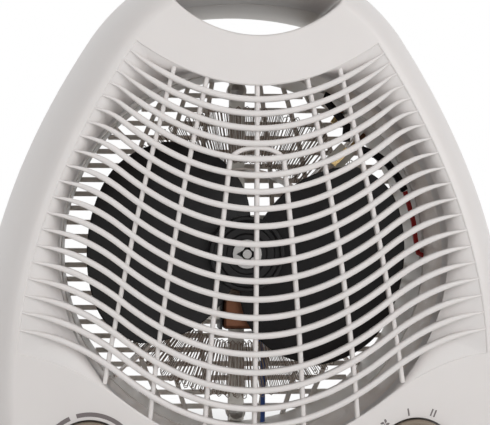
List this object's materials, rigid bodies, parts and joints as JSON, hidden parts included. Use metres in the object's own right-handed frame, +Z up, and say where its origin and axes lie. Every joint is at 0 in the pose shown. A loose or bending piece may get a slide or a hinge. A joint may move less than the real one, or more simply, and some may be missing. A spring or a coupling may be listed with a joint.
{
  "type": "fan heater",
  "caption": "Upright portable fan heater: oval moulded housing with a carrying grip, slatted front grille, fan, zigzag heating wire, thermostat dial and selector dial.",
  "frame": {"origin": "on the floor under the middle of the housing", "axes": "+Z up through the grip, -Y out of the front grille, +X to the right seen from the front; the fan turns about +Y"},
  "size_m": [0.234, 0.118, 0.253],
  "materials": {
    "ivory_shell": "fine satin moulding",
    "black_plastic": "semi-gloss moulding",
    "taupe_knob": "satin lacquer",
    "rubber": "matt",
    "zinc_steel": "zinc-plated pressing",
    "bright_steel": "bright turned",
    "heating_alloy": "oxidised wire",
    "brass": "plain",
    "copper": "enamelled copper wire",
    "mica": "pressed mica sheet",
    "ceramic": "unglazed",
    "red_insulation": "silicone insulation",
    "blue_insulation": "silicone insulation",
    "brown_insulation": "silicone insulation",
    "lamp_lens": "clear tinted lens"
  },
  "bodies": {
    "housing": {"front_shell": "ivory_shell", "rear_shell": "ivory_shell", "motor_stator": "zinc_steel", "motor_bobbin": "black_plastic", "motor_winding": "copper", "motor_bracket_front": "zinc_steel", "motor_bracket_rear": "zinc_steel", "motor_bearing_front": "brass", "motor_bearing_rear": "brass", "motor_carrier": "zinc_steel", "motor_screw_1": "bright_steel", "motor_screw_2": "bright_steel", "carrier_screw_1": "bright_steel", "carrier_screw_2": "bright_steel", "shell_screw_1": "bright_steel", "shell_screw_2": "bright_steel", "shell_screw_3": "bright_steel", "shell_screw_4": "bright_steel", "heating_wire": "heating_alloy", "heater_crimp_front": "brass", "heater_crimp_rear": "brass", "mica_frame": "mica", "mica_liner": "mica", "thermal_cutout": "ceramic", "cutout_strip": "brass", "thermal_fuse": "black_plastic", "fuse_lead": "black_plastic", "red_lead_sleeve": "black_plastic", "red_lead": "red_insulation", "motor_lead": "blue_insulation", "heater_lead_front": "brown_insulation", "heater_lead_rear": "brown_insulation", "connector_right": "ceramic", "connector_left": "ceramic", "connector_top": "ceramic", "connector_low": "ceramic", "connector_thermostat": "ceramic", "thermostat_frame": "zinc_steel", "thermostat_stack": "ceramic", "thermostat_bimetal": "brass", "thermostat_nut": "zinc_steel", "rotary_switch": "black_plastic", "selector_nut": "zinc_steel", "neon_lamp": "ceramic", "indicator_lens": "lamp_lens", "foot_front_left": "rubber", "foot_front_right": "rubber", "foot_rear_left": "rubber", "foot_rear_right": "rubber", "cord_gland": "rubber"},
    "fan": {"fan_impeller": "black_plastic", "fan_clip": "bright_steel", "motor_shaft": "bright_steel", "motor_rotor": "zinc_steel"},
    "thermostat_dial": {"thermostat_knob": "taupe_knob", "thermostat_spindle": "bright_steel"},
    "selector_dial": {"selector_knob": "taupe_knob", "selector_spindle": "bright_steel"}
  },
  "joints": [
    {"name": "fan_spin", "type": "hinge", "parent": "housing", "child": "fan", "pos_m": [0, 0, 0.122], "axis": [0, 1, 0], "continuous": true},
    {"name": "thermostat_turn", "type": "hinge", "parent": "housing", "child": "thermostat_dial", "pos_m": [-0.06751, -0.04414, 0.038], "axis": [0, 1, 0], "range_deg": [0, 270]},
    {"name": "selector_turn", "type": "hinge", "parent": "housing", "child": "selector_dial", "pos_m": [0.06751, -0.04414, 0.038], "axis": [0, 1, 0], "range_deg": [0, 90]}
  ]
}
